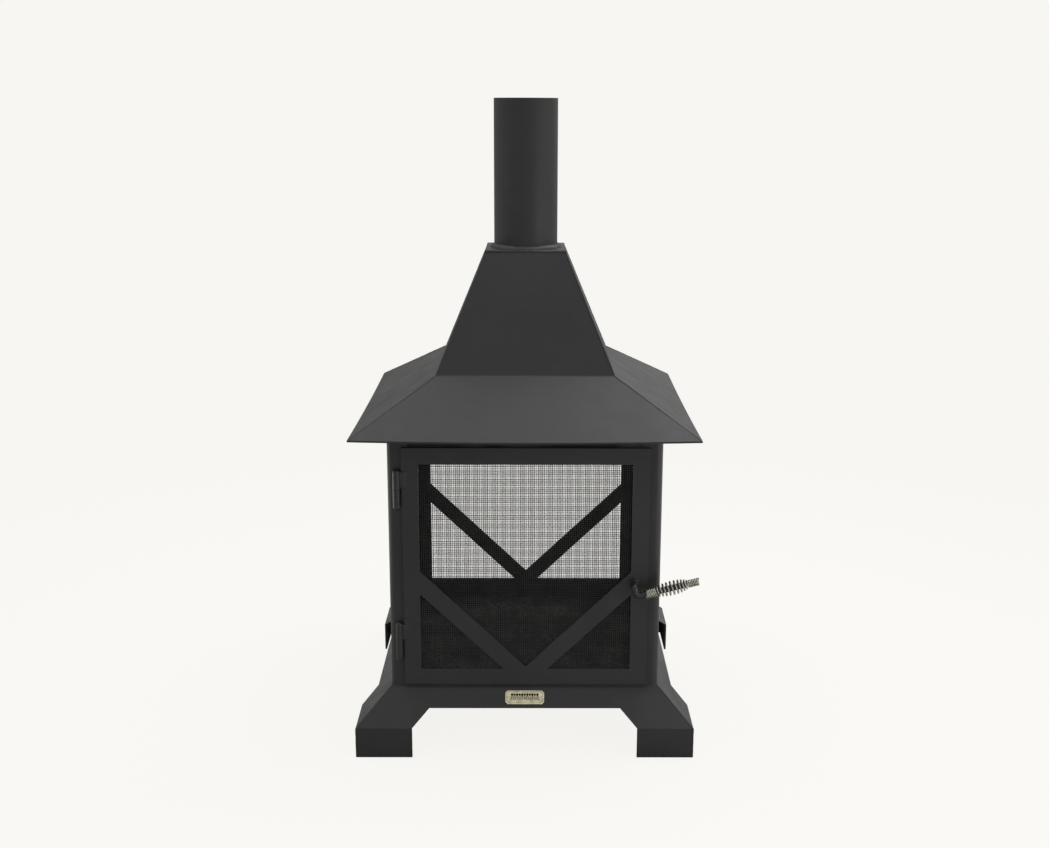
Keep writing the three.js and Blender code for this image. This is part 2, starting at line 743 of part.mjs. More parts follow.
addBase();
addFireboxSides();
addSillsAndHeaders();
addFloor();
addRearWindow();
addHoodPanels();
addCap();
addPipe();
addNameplate();
addDoorFrame();
addDoorMesh();
addHinges();
addBush();
addLatchRod();
addTongue();
addGrip();

export default chiminea;
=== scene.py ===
"""The looks of a welded steel chiminea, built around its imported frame.

Metres, +Z up, the door on the -Y side. Flat sheets, bars and turned parts stay the frame's own nodes,
with rounded edges and painted materials. The bent hood sheets, the woven wire, the latch bar, its
coiled grip, the weld beads, the nameplate's ornament and a ledge under the fire floor are made here.
"""
import math

import bpy
from mathutils import Matrix, Vector, noise


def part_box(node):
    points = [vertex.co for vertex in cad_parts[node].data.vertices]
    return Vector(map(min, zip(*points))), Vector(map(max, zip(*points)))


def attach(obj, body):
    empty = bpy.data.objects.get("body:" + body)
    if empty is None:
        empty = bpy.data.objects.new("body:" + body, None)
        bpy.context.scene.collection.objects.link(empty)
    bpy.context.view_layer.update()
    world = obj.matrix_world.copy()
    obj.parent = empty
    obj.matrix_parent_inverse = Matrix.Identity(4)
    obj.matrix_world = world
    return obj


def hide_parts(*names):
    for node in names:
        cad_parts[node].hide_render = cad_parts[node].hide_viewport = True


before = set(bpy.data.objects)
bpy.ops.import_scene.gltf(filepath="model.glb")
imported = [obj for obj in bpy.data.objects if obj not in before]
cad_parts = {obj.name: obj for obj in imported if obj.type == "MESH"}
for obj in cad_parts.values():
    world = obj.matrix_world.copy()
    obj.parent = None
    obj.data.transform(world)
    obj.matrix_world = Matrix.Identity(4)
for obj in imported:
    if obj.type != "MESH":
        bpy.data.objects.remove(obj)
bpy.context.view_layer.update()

MM = 0.001

# ---- Camera and stage --------------------------------------------------------------------------
CAMERA_AT = (0.00996, -2.7564, 1.2302)
CAMERA_PITCH = math.radians(13.77)
CAMERA_YAW = math.radians(0.333)
CAMERA_ROLL = math.radians(0.194)
CAMERA_LENS = 46.643
SENSOR_WIDTH = 36
CAMERA_SHIFT = (-0.01286, 0.01652)
BACKGROUND = (0.93, 0.92, 0.89)
FLOOR_GLOW = 0.95
ROOM = 0.58
ROOM_BEHIND = 0.51
SIDE_GLOW = 1.6
GLOW_STARTS = (0.9, 1.4)
GLOW_ENDS = (2.4, 3.4)
GLOW_FRONT = (-1.0, -0.3)

# ---- Sizes taken from the frame ----------------------------------------------------------------
PIPE_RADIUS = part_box("chimney_pipe")[1].x
CAP_LOW, CAP_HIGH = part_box("hood_cap")
HOOD_TOP = CAP_HIGH.x
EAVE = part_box("hood_panel_right")[1].x
HOOD_TOP_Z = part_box("hood_panel_front")[1].z
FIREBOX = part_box("firebox_side_right")[1].x
FIREBOX_BOTTOM_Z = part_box("firebox_side_right")[0].z
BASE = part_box("base_skirt_right")[1].x
SKIRT_TOP_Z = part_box("base_skirt_front")[1].z
DOOR_LOW, DOOR_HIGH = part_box("door_frame")
FLOOR_TOP_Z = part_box("floor_plate")[1].z

# ---- Sizes that no box of the frame gives ------------------------------------------------------
SHEET = 3 * MM
EAVE_Z = 635.6 * MM
HOOD_BEND = 173.75 * MM
HOOD_BEND_Z = 727 * MM
HOOD_BEND_RADIUS = 9 * MM
EAVE_SAG = 3.6 * MM
FOOT_BEND_Z = 61 * MM
FIREBOX_CORNER = 14 * MM

WIRE_PITCH = 3.75 * MM
WIRE_RADIUS = 0.43 * MM

LATCH_X = 209.5 * MM
LATCH_Z = 339.9 * MM
ROD_RADIUS = 6 * MM
ROD_BEND = 7.5 * MM
ROD_FRONT_Y = -295 * MM
ROD_DROP = 19.7 * MM
ROD_END_SHORT = 7 * MM
HANDLE_RISE = math.radians(14.5)
GRIP_START = 18.6 * MM
GRIP_TIGHT_IN = 19.5 * MM
GRIP_OPEN = 64.5 * MM
GRIP_TIGHT_OUT = 20.2 * MM
GRIP_WIRE = 1.45 * MM
GRIP_PITCH = 3.1 * MM
GRIP_OPEN_TURNS = 10
GRIP_RADII = (7.8 * MM, 12.8 * MM, 6.2 * MM)
HINGE_RADIUS = 7 * MM

# The signs of x and y at the four corners, anticlockwise from the front right one.
CORNERS = [(1, -1), (1, 1), (-1, 1), (-1, -1)]


# ---- Node helpers ------------------------------------------------------------------------------
def add_node(tree, kind, settings=None, **inputs):
    """A new node. An input is given by its name, or as i and its number, and gets a value or the
    socket that feeds it."""
    made = tree.nodes.new(kind)
    for name, value in (settings or {}).items():
        setattr(made, name, value)
    for name, value in inputs.items():
        numbered = name[0] == "i" and name[1:].isdigit()
        socket = made.inputs[int(name[1:]) if numbered else name]
        if isinstance(value, bpy.types.NodeSocket):
            tree.links.new(value, socket)
        else:
            socket.default_value = value
    return made


def object_point(tree):
    return tree.nodes.new("ShaderNodeTexCoord").outputs["Object"]


def cloud(tree, point, scale, detail=2.0, stretch=None):
    """Noise of about 1 / scale metres, optionally drawn out along some axes."""
    if stretch:
        mapping = add_node(tree, "ShaderNodeMapping", Scale=stretch, Vector=point)
        point = mapping.outputs["Vector"]
    return add_node(tree, "ShaderNodeTexNoise", Vector=point, Scale=scale, Detail=detail).outputs["Fac"]


def spread(tree, value, low, high, to_low=0.0, to_high=1.0):
    """The value's range from low to high, stretched to another range and held at its ends."""
    names = {"Value": value, "From Min": low, "From Max": high, "To Min": to_low, "To Max": to_high}
    return add_node(tree, "ShaderNodeMapRange", **names).outputs["Result"]


def blend_colours(tree, factor, first, second):
    mix = add_node(tree, "ShaderNodeMix", {"data_type": "RGBA"}, i0=factor, i6=first, i7=second)
    return mix.outputs[2]


def calculate(tree, operation, first, second):
    """The result of one operation on two values or sockets."""
    made = add_node(tree, "ShaderNodeMath", {"operation": operation}, i0=first, i1=second)
    return made.outputs["Value"]


def bump(tree, height, depth, normal=None):
    """A bump of that depth in metres, laid over an earlier one."""
    inputs = {"Height": height, "Strength": 1.0, "Distance": depth}
    if normal:
        inputs["Normal"] = normal
    return add_node(tree, "ShaderNodeBump", **inputs).outputs["Normal"]


def new_material(name):
    """A new material, its node tree and its shader node."""
    material = bpy.data.materials.new(name)
    material.use_nodes = True
    return material, material.node_tree, material.node_tree.nodes["Principled BSDF"]


# ---- Masks -------------------------------------------------------------------------------------
def inside_firebox(tree, point):
    """1 on the faces that look into the fire, 0 outside."""
    split = add_node(tree, "ShaderNodeSeparateXYZ", Vector=point).outputs
    beyond = []
    for axis in ("X", "Y"):
        across = calculate(tree, "ABSOLUTE", split[axis], 0.0)
        past_bend = calculate(tree, "SUBTRACT", across, FIREBOX - FIREBOX_CORNER)
        beyond.append(calculate(tree, "MAXIMUM", past_bend, 0.0))
    corner = add_node(tree, "ShaderNodeCombineXYZ", X=beyond[0], Y=beyond[1]).outputs["Vector"]
    reach = add_node(tree, "ShaderNodeVectorMath", {"operation": "LENGTH"}, i0=corner).outputs["Value"]
    within = calculate(tree, "LESS_THAN", reach, FIREBOX_CORNER - 0.8 * SHEET)
    above = calculate(tree, "GREATER_THAN", split["Z"], FLOOR_TOP_Z)
    return calculate(tree, "MULTIPLY", within, above)


def painted_shade_above_door(tree, point):
    """1 from just under the door's top edge upwards: painted shade, where the headers take the soot
    colour to stand for the dark gap under the roof.
    """
    height = add_node(tree, "ShaderNodeSeparateXYZ", Vector=point).outputs["Z"]
    return calculate(tree, "GREATER_THAN", height, DOOR_HIGH.z - 25 * MM)


def under_the_hood(tree, point):
    """1 on the undersides of the hood sheets over the fire, 0 elsewhere."""
    normal = tree.nodes.new("ShaderNodeNewGeometry").outputs["True Normal"]
    rise = add_node(tree, "ShaderNodeSeparateXYZ", Vector=normal).outputs["Z"]
    down = calculate(tree, "LESS_THAN", rise, 0.0)
    return calculate(tree, "MULTIPLY", inside_firebox(tree, point), down)


def inside_pipe(tree, point):
    """1 on the pipe's inner wall, 0 on its outer one."""
    split = add_node(tree, "ShaderNodeSeparateXYZ", Vector=point).outputs
    flat = add_node(tree, "ShaderNodeCombineXYZ", X=split["X"], Y=split["Y"]).outputs["Vector"]
    across = add_node(tree, "ShaderNodeVectorMath", {"operation": "LENGTH"}, i0=flat).outputs["Value"]
    return calculate(tree, "LESS_THAN", across, PIPE_RADIUS - 0.8 * SHEET)


# ---- Materials ---------------------------------------------------------------------------------
PAINT_DARK = (0.0225, 0.0226, 0.0232, 1)
PAINT_LIGHT = (0.029, 0.029, 0.0295, 1)
PAINT_SMUDGE = (0.038, 0.0375, 0.037, 1)
# Soot inside the firebox, hood and pipe. On the headers the same colours are painted shade.
SOOT_AND_SHADE = (0.016, 0.0154, 0.0147, 1)
ASHY_SOOT_AND_SHADE = (0.06, 0.057, 0.053, 1)


def satin_paint(name, soot_and_shade_mask=None, smoothest=0.40):
    """Sprayed high-heat paint: charcoal, satin, a little uneven, finely grained."""
    material, tree, shader = new_material(name)
    point = object_point(tree)
    broad = cloud(tree, point, 5, 3)
    smudge = cloud(tree, point, 26, 5)
    peel = cloud(tree, point, 240, 1)
    grain = cloud(tree, point, 1500, 2)

    colour = blend_colours(tree, spread(tree, broad, 0.35, 0.65), PAINT_DARK, PAINT_LIGHT)
    colour = blend_colours(tree, spread(tree, smudge, 0.55, 0.8, 0.0, 0.5), colour, PAINT_SMUDGE)
    rough = spread(tree, broad, 0.3, 0.7, smoothest, smoothest + 0.08)
    rough = calculate(tree, "ADD", rough, spread(tree, smudge, 0.4, 0.75, -0.02, 0.06))
    # Where the mask is 1 the paint turns to soot with pale ash. On the headers this darkening is painted
    # shade, not soot.
    if soot_and_shade_mask:
        mask = soot_and_shade_mask(tree, point)
        mottle = spread(tree, cloud(tree, point, 14, 6), 0.5, 0.75, 0.0, 0.7)
        soot_and_shade_colour = blend_colours(tree, mottle, SOOT_AND_SHADE, ASHY_SOOT_AND_SHADE)
        colour = blend_colours(tree, mask, colour, soot_and_shade_colour)
        rough = calculate(tree, "ADD", rough, calculate(tree, "MULTIPLY", mask, 0.4))
    waves = bump(tree, cloud(tree, point, 3.2, 1), 0.9 * MM)
    peeled = bump(tree, peel, 0.05 * MM, waves)
    grained = bump(tree, grain, 0.03 * MM, peeled)
    tree.links.new(colour, shader.inputs["Base Color"])
    tree.links.new(rough, shader.inputs["Roughness"])
    tree.links.new(grained, shader.inputs["Normal"])
    shader.inputs["Specular IOR Level"].default_value = 0.42
    return material


def burnt_floor(name):
    """The fire floor: scorched paint, pale ash in drifts, and a few rust blooms."""
    material, tree, shader = new_material(name)
    point = object_point(tree)
    drifts = cloud(tree, point, 9, 6)
    flecks = cloud(tree, point, 170, 4)
    bloom = cloud(tree, point, 17, 5)
    mottle = calculate(tree, "MULTIPLY", spread(tree, drifts, 0.42, 0.7), spread(tree, flecks, 0.3, 0.7))
    colour = blend_colours(tree, mottle, (0.026, 0.025, 0.024, 1), (0.34, 0.325, 0.305, 1))
    rust = spread(tree, bloom, 0.62, 0.75, 0.0, 0.55)
    colour = blend_colours(tree, rust, colour, (0.07, 0.032, 0.016, 1))
    tree.links.new(colour, shader.inputs["Base Color"])
    tree.links.new(spread(tree, drifts, 0.3, 0.7, 0.7, 0.95), shader.inputs["Roughness"])
    tree.links.new(bump(tree, flecks, 0.25 * MM), shader.inputs["Normal"])
    return material


def painted_wire(name):
    """The mesh's wire: black paint that is worn a little paler in patches."""
    material, tree, shader = new_material(name)
    point = object_point(tree)
    patch = cloud(tree, point, 40, 3)
    patchy = spread(tree, patch, 0.35, 0.7)
    colour = blend_colours(tree, patchy, (0.031, 0.031, 0.0315, 1), (0.054, 0.053, 0.052, 1))
    tree.links.new(colour, shader.inputs["Base Color"])
    tree.links.new(spread(tree, patch, 0.3, 0.7, 0.4, 0.52), shader.inputs["Roughness"])
    shader.inputs["Specular IOR Level"].default_value = 0.5
    return material


def plated_wire(name):
    """Nickel-plated spring wire, faintly yellow, with drawn lines and a dulled skin."""
    material, tree, shader = new_material(name)
    point = object_point(tree)
    skin = cloud(tree, point, 130, 4)
    lines = cloud(tree, point, 900, 2, (0.15, 1, 1))
    dulled = spread(tree, skin, 0.35, 0.7)
    colour = blend_colours(tree, dulled, (0.55, 0.535, 0.465, 1), (0.33, 0.32, 0.275, 1))
    tree.links.new(colour, shader.inputs["Base Color"])
    tree.links.new(spread(tree, skin, 0.3, 0.7, 0.2, 0.32), shader.inputs["Roughness"])
    tree.links.new(bump(tree, lines, 0.03 * MM), shader.inputs["Normal"])
    shader.inputs["Metallic"].default_value = 1.0
    return material


def antique_brass(name, clean=(0.86, 0.79, 0.56, 1), dull=(0.52, 0.46, 0.30, 1)):
    """Pale pressed brass, brushed along its length and darker where it was never rubbed."""
    material, tree, shader = new_material(name)
    point = object_point(tree)
    brushed = cloud(tree, point, 1300, 3, (0.06, 1, 1))
    patina = cloud(tree, point, 95, 5)
    colour = blend_colours(tree, spread(tree, patina, 0.4, 0.72), clean, dull)
    tree.links.new(colour, shader.inputs["Base Color"])
    tree.links.new(spread(tree, brushed, 0.3, 0.7, 0.34, 0.5), shader.inputs["Roughness"])
    tree.links.new(bump(tree, brushed, 0.03 * MM), shader.inputs["Normal"])
    shader.inputs["Metallic"].default_value = 0.9
    return material


def dark_enamel(name):
    """The matt black filling of the nameplate's marks."""
    material, tree, shader = new_material(name)
    patch = cloud(tree, object_point(tree), 300, 3)
    colour = blend_colours(tree, patch, (0.003, 0.003, 0.0025, 1), (0.012, 0.011, 0.009, 1))
    tree.links.new(colour, shader.inputs["Base Color"])
    shader.inputs["Roughness"].default_value = 0.85
    shader.inputs["Specular IOR Level"].default_value = 0.1
    return material


def turned_steel(name):
    """Bare steel with fine lathe lines, for the hinge pins."""
    material, tree, shader = new_material(name)
    lines = cloud(tree, object_point(tree), 700, 2, (0.2, 0.2, 4))
    tree.links.new(spread(tree, lines, 0.3, 0.7, 0.3, 0.5), shader.inputs["Roughness"])
    tree.links.new(bump(tree, lines, 0.02 * MM), shader.inputs["Normal"])
    shader.inputs["Base Color"].default_value = (0.45, 0.45, 0.45, 1)
    shader.inputs["Metallic"].default_value = 1.0
    return material


PAINT = satin_paint("satin_paint")
ROUND_PAINT = satin_paint("satin_paint_round_parts", smoothest=0.24)
FIREBOX_PAINT = satin_paint("satin_paint_firebox", inside_firebox)
HOOD_PAINT = satin_paint("satin_paint_hood", under_the_hood)
PIPE_PAINT = satin_paint("satin_paint_pipe", inside_pipe)
# Painted shade: the headers are darkened to near-black above the door, for the dark gap under the roof.
HEADER_SHADE_PAINT = satin_paint("satin_paint_header_painted_shade", painted_shade_above_door)
FLOOR = burnt_floor("burnt_floor")
WIRE = painted_wire("painted_wire")
NICKEL = plated_wire("plated_wire")
BRASS = antique_brass("antique_brass")
ENAMEL = dark_enamel("dark_enamel")
RUBBED_BRASS = antique_brass("rubbed_brass", (0.93, 0.87, 0.7, 1), (0.7, 0.64, 0.48, 1))
STEEL = turned_steel("turned_steel")


# ---- Dressing the frame's own nodes ------------------------------------------------------------
def smoothing_group():
    """Geometry nodes that drop the faceted normals and shade every face smooth."""
    group = bpy.data.node_groups.new("smooth_faces", "GeometryNodeTree")
    for direction in ("INPUT", "OUTPUT"):
        group.interface.new_socket("Geometry", in_out=direction, socket_type="NodeSocketGeometry")
    whole = group.nodes.new("NodeGroupInput").outputs[0]
    clean = add_node(group, "GeometryNodeRemoveAttribute", Geometry=whole, Name="custom_normal")
    smooth = add_node(group, "GeometryNodeSetShadeSmooth", Geometry=clean.outputs[0])
    end = group.nodes.new("NodeGroupOutput")
    group.links.new(smooth.outputs[0], end.inputs[0])
    return group


SMOOTH_FACES = smoothing_group()


def add_bevel(piece, width, angle, segments):
    bevel = piece.modifiers.new("rounded_edges", "BEVEL")
    bevel.width = width
    bevel.segments = segments
    bevel.limit_method = "ANGLE"
    bevel.angle_limit = math.radians(angle)


def shade_flat_faces_true(piece):
    normals = piece.modifiers.new("true_faces", "WEIGHTED_NORMAL")
    normals.weight = 100


# The least angle, in degrees, of a sharp edge, of a sheet's bend, and of any edge of a piece
# without bends.
SHARP_EDGE, SHEET_BEND, ANY_EDGE = 60, 34, 32


def dress(node, material, edge=0.7 * MM, bend=None):
    """Gives a frame node its material, rounds its edges, and rounds its sheet bends wider."""
    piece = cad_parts[node]
    for slot in piece.material_slots:
        slot.material = material
    weld = piece.modifiers.new("one_skin", "WELD")
    weld.merge_threshold = 0.01 * MM
    planar = piece.modifiers.new("whole_faces", "DECIMATE")
    planar.decimate_type = "DISSOLVE"
    planar.angle_limit = math.radians(0.3)
    if bend:
        add_bevel(piece, edge, SHARP_EDGE, 3)
        add_bevel(piece, bend, SHEET_BEND, 5)
    elif edge:
        add_bevel(piece, edge, ANY_EDGE, 3)
    smooth = piece.modifiers.new("smooth_faces", "NODES")
    smooth.node_group = SMOOTH_FACES
    shade_flat_faces_true(piece)


def dress_frame_nodes():
    for side in ("front", "rear", "left", "right"):
        dress("base_skirt_" + side, PAINT, bend=3.5 * MM)
    for side in ("left", "right"):
        dress("firebox_side_" + side, FIREBOX_PAINT)
        dress("nameplate_rivet_" + side, BRASS, edge=None)
    for end in ("front", "rear"):
        dress("sill_" + end, FIREBOX_PAINT)
        # The headers get the painted shade above the door.
        dress("header_" + end, HEADER_SHADE_PAINT)
    dress("floor_plate", FLOOR)
    dress("hood_cap", PAINT, edge=None)
    dress("chimney_pipe", PIPE_PAINT, edge=0.5 * MM)
    dress("rear_frame", PAINT, edge=0.8 * MM)
    dress("door_frame", PAINT, edge=0.8 * MM)
    for bar in ("top", "bottom", "left", "right_lower", "right_upper"):
        dress("door_mesh_bar_" + bar, PAINT, edge=0.5 * MM)
    for level in ("upper", "lower"):
        dress("hinge_door_barrel_" + level, ROUND_PAINT, edge=0.5 * MM)
        dress("hinge_frame_barrel_" + level, ROUND_PAINT, edge=0.5 * MM)
        dress("hinge_pin_" + level, STEEL, edge=0.5 * MM)
    dress("latch_bush", ROUND_PAINT, edge=0.8 * MM)
    dress("latch_tongue", PAINT, edge=0.6 * MM)
    dress("nameplate", BRASS, edge=0.8 * MM)


# ---- Mesh helpers ------------------------------------------------------------------------------
class Shape:
    """Points and faces gathered for one piece."""

    def __init__(self):
        self.points = []
        self.faces = []

    def add_rings(self, rings, closed=False):
        """Skins a row of rings, each with as many points, and caps its ends unless it closes."""
        start, around = len(self.points), len(rings[0])
        for ring in rings:
            self.points.extend(ring)
        rows = len(rings) if closed else len(rings) - 1
        for row in range(rows):
            here, there = start + row * around, start + (row + 1) % len(rings) * around
            for k in range(around):
                after = (k + 1) % around
                self.faces.append((here + k, here + after, there + after, there + k))
        if not closed:
            last = start + (len(rings) - 1) * around
            self.faces.append(tuple(start + k for k in reversed(range(around))))
            self.faces.append(tuple(last + k for k in range(around)))


def add_piece(name, shape, material, body, stands_for=(), sharp=40):
    """A visible piece that rides on a body. Edges over the sharp angle, in degrees, stay crisp."""
    mesh = bpy.data.meshes.new(name)
    mesh.from_pydata(shape.points, [], shape.faces)
    mesh.materials.append(material)
    mesh.polygons.foreach_set("use_smooth", [True] * len(mesh.polygons))
    mesh.set_sharp_from_angle(angle=math.radians(sharp))
    mesh.update()
    piece = bpy.data.objects.new(name, mesh)
    bpy.context.scene.collection.objects.link(piece)
    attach(piece, body)
    if stands_for:
        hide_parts(*stands_for)
    return piece


def directions_along(path):
    """The direction of a path at each of its points."""
    last = len(path) - 1
    return [(path[min(k + 1, last)] - path[max(k - 1, 0)]).normalized() for k in range(last + 1)]


def sweep(shape, path, radii, sides=12):
    """A round bar along an open path, of one radius or one for each point."""
    directions = directions_along(path)
    side = directions[0].orthogonal().normalized()
    rings = []
    for k, (point, direction) in enumerate(zip(path, directions)):
        if k:
            side = directions[k - 1].rotation_difference(direction) @ side
        side = (side - direction * side.dot(direction)).normalized()
        other = direction.cross(side)
        radius = radii[k] if isinstance(radii, list) else radii
        turns = [2 * math.pi * j / sides for j in range(sides)]
        ring = [point + side * radius * math.cos(a) + other * radius * math.sin(a) for a in turns]
        rings.append(ring)
    shape.add_rings(rings)


def resampled(corners, step):
    """Points along straight runs, about a step apart, with every corner kept."""
    path = [corners[0]]
    for start, end in zip(corners, corners[1:]):
        count = max(1, round((end - start).length / step))
        path.extend(start.lerp(end, k / count) for k in range(1, count + 1))
    return path


def wobble(point, size, seed):
    """Smooth noise from about -1 to 1 that changes over the given distance."""
    return noise.noise(point / size + Vector((seed * 7.3, seed * 3.1, 0)))


def bead_radii(path, radius, seed, ripple=0.05, pitch=3.5 * MM):
    """The radii of a weld bead: even ripples, and a slower unevenness."""
    radii, along = [], 0.0
    for k, point in enumerate(path):
        if k:
            along += (point - path[k - 1]).length
        wave = 1 + ripple * math.sin(2 * math.pi * along / pitch)
        radii.append(radius * (wave + 0.12 * wobble(point, 14 * MM, seed)))
    return radii


# ---- Hood --------------------------------------------------------------------------------------
def arc_points(centre, radius, start, end, steps):
    """Flat points along an arc, from one angle to another."""
    turns = [start + (end - start) * k / steps for k in range(steps + 1)]
    return [(centre[0] + radius * math.cos(a), centre[1] + radius * math.sin(a)) for a in turns]


def hood_section():
    """One hood sheet's outer and inner lines, as distance from the centre and height."""
    roof = math.atan2(HOOD_BEND_Z - EAVE_Z, EAVE - HOOD_BEND)
    wall = math.atan2(HOOD_TOP_Z - HOOD_BEND_Z, HOOD_BEND - HOOD_TOP)
    setback = HOOD_BEND_RADIUS * math.tan((wall - roof) / 2)
    start = (HOOD_BEND + setback * math.cos(roof), HOOD_BEND_Z - setback * math.sin(roof))
    to_centre = (HOOD_BEND_RADIUS * math.sin(roof), HOOD_BEND_RADIUS * math.cos(roof))
    centre = (start[0] + to_centre[0], start[1] + to_centre[1])
    turn = (math.pi * 1.5 - roof, math.pi * 1.5 - wall)
    lines = []
    for depth in (0.0, SHEET):
        bend = arc_points(centre, HOOD_BEND_RADIUS + depth, *turn, 6)
        low = (EAVE, EAVE_Z - depth / math.cos(roof))
        top = (HOOD_TOP - depth / math.sin(wall), HOOD_TOP_Z)
        steps = 8
        lines.append([mixed(low, bend[0], k / steps) for k in range(steps)] + bend + [top])
    return lines


def mixed(first, second, share):
    return tuple(a + (b - a) * share for a, b in zip(first, second))


def eave_sag(height, share):
    """The drop of a sheet, most in the middle of the eave and none at the bend."""
    lift = min(1.0, max(0.0, (HOOD_BEND_Z - height) / (HOOD_BEND_Z - EAVE_Z)))
    return EAVE_SAG * lift * lift * (1 - share * share)


def add_hood_panels():
    """The four bent hood sheets, which meet along the hips."""
    outer, inner = hood_section()
    section = outer + inner[::-1]
    columns = 24
    for quarter_turns, side in enumerate(("front", "right", "rear", "left")):
        turn = Matrix.Rotation(quarter_turns * math.pi / 2, 3, "Z")
        rings = []
        for column in range(columns + 1):
            share = 1 - 2 * column / columns
            ring = []
            for distance, height in section:
                across = share * (distance - 0.15 * MM)
                ring.append(turn @ Vector((across, -distance, height - eave_sag(height, share))))
            rings.append(ring)
        shape = Shape()
        shape.add_rings(rings)
        name, node = "hood_sheet_" + side, "hood_panel_" + side
        panel = add_piece(name, shape, HOOD_PAINT, "shell", [node], sharp=50)
        add_bevel(panel, 0.5 * MM, 55, 2)
        shade_flat_faces_true(panel)


def add_hip_welds():
    """The four corner welds of the hood, ground to a soft edge."""
    radius = 2.0 * MM
    shape = Shape()
    for seed, (sign_x, sign_y) in enumerate(CORNERS):
        inset = 1.1 * MM
        corners = [
            Vector((sign_x * (EAVE - 3 * inset), sign_y * (EAVE - 3 * inset), EAVE_Z + 0.1 * MM)),
            Vector((sign_x * (HOOD_BEND - inset), sign_y * (HOOD_BEND - inset), HOOD_BEND_Z - 0.3 * MM)),
            Vector((sign_x * (HOOD_TOP - inset), sign_y * (HOOD_TOP - inset), HOOD_TOP_Z - 0.5 * MM)),
        ]
        path = resampled(corners, 4 * MM)
        sweep(shape, path, bead_radii(path, radius, seed, 0.02), 10)
    add_piece("hood_hip_welds", shape, PAINT, "shell")


def add_cap_seam():
    """The weld between the cap plate and the hood, smoothed over."""
    half, height = HOOD_TOP - 1.85 * MM, CAP_LOW.z + 0.6 * MM
    round_trip = CORNERS[-1:] + CORNERS
    corners = [Vector((x * half, y * half, height)) for x, y in round_trip]
    path = resampled(corners, 5 * MM)
    shape = Shape()
    sweep(shape, path, bead_radii(path, 2.0 * MM, 5, 0.03), 8)
    add_piece("hood_cap_seam", shape, PAINT, "shell")


def add_pipe_weld():
    """The heavy fillet weld round the foot of the pipe."""
    leg, rise, steps, ripples = 8.2 * MM, 7.2 * MM, 360, 90
    rings = []
    for k in range(steps):
        angle = 2 * math.pi * k / steps
        out = Vector((math.cos(angle), math.sin(angle), 0))
        spot = out * PIPE_RADIUS
        uneven = 1 + 0.10 * wobble(spot, 9 * MM, 2) + 0.16 * wobble(spot, 30 * MM, 3)
        wave = 1 + 0.05 * math.sin(ripples * angle)
        width, height = leg * uneven * wave, rise * (1 + 0.12 * wobble(spot, 16 * MM, 4)) * wave
        ring = []
        for j in range(9):
            share = j / 8
            bulge = 0.32 * math.sin(math.pi * share)
            radial = width * (share + bulge * 0.5 * (1 - share) + 0.12 * bulge)
            lift = height * (1 - share + bulge * 0.5 * share + 0.12 * bulge)
            ring.append(out * (PIPE_RADIUS + radial) + Vector((0, 0, CAP_HIGH.z + lift)))
        ring.append(out * (PIPE_RADIUS + width) + Vector((0, 0, CAP_HIGH.z - 0.4 * MM)))
        ring.append(out * (PIPE_RADIUS - 0.4 * MM) + Vector((0, 0, CAP_HIGH.z - 0.4 * MM)))
        ring.append(out * (PIPE_RADIUS - 0.4 * MM) + Vector((0, 0, CAP_HIGH.z + height)))
        rings.append(ring)
    shape = Shape()
    shape.add_rings(rings, closed=True)
    add_piece("pipe_weld", shape, PAINT, "shell")


# ---- Firebox and base --------------------------------------------------------------------------
def rounded_rectangle(half_x, half_y, corner, height, steps=6):
    """A level outline with round corners, closed by its first point."""
    path = []
    for quarter, (sign_x, sign_y) in enumerate([(1, 1), (-1, 1), (-1, -1), (1, -1)]):
        centre = (sign_x * (half_x - corner), sign_y * (half_y - corner))
        start = quarter * math.pi / 2
        bend = arc_points(centre, corner, start, start + math.pi / 2, steps)
        path.extend(Vector((x, y, height)) for x, y in bend)
    path.append(path[0].copy())
    return path


def add_firebox_seam():
    """The small weld all round, where the firebox stands on the base."""
    outline = rounded_rectangle(FIREBOX, FIREBOX, FIREBOX_CORNER, (FIREBOX_BOTTOM_Z + SKIRT_TOP_Z) / 2)
    path = resampled(outline, 3 * MM)
    shape = Shape()
    sweep(shape, path, bead_radii(path, 1.3 * MM, 9, 0.06), 8)
    add_piece("firebox_base_weld", shape, PAINT, "shell")


def add_floor_ledge():
    """The flat ledge that the floor plate rests on, all round inside the base."""
    reach, width, thickness = FIREBOX + 2.2 * MM, 24 * MM, 3 * MM
    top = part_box("floor_plate")[0].z - 0.2 * MM
    outer, inner, bottom = reach, reach - width, top - thickness
    rings = []
    for sign_x, sign_y in CORNERS:
        section = [(outer, top), (outer, bottom), (inner, bottom), (inner, top)]
        rings.append([Vector((sign_x * half, sign_y * half, height)) for half, height in section])
    shape = Shape()
    shape.add_rings(rings, closed=True)
    add_piece("floor_ledge", shape, PAINT, "shell")


def add_base_corner_welds():
    """The mitred corners of the base, welded and ground."""
    radius, inset = 2.1 * MM, 1.3 * MM
    shape = Shape()
    for seed, (sign_x, sign_y) in enumerate(CORNERS):
        corners = [
            Vector((sign_x * (FIREBOX - inset), sign_y * (FIREBOX - inset), SKIRT_TOP_Z - 0.8 * MM)),
            Vector((sign_x * (BASE - inset), sign_y * (BASE - inset), FOOT_BEND_Z - 0.8 * MM)),
            Vector((sign_x * (BASE - inset), sign_y * (BASE - inset), 0.6 * MM)),
        ]
        path = resampled(corners, 3 * MM)
        sweep(shape, path, bead_radii(path, radius, seed + 20, 0.02), 12)
    add_piece("base_corner_welds", shape, PAINT, "shell")


# ---- Woven wire --------------------------------------------------------------------------------
def evenly(low, high):
    """Wire places at the weave's pitch, centred between two edges."""
    count = int((high - low) / WIRE_PITCH)
    first = (low + high - count * WIRE_PITCH) / 2
    return [first + k * WIRE_PITCH for k in range(count + 1)]


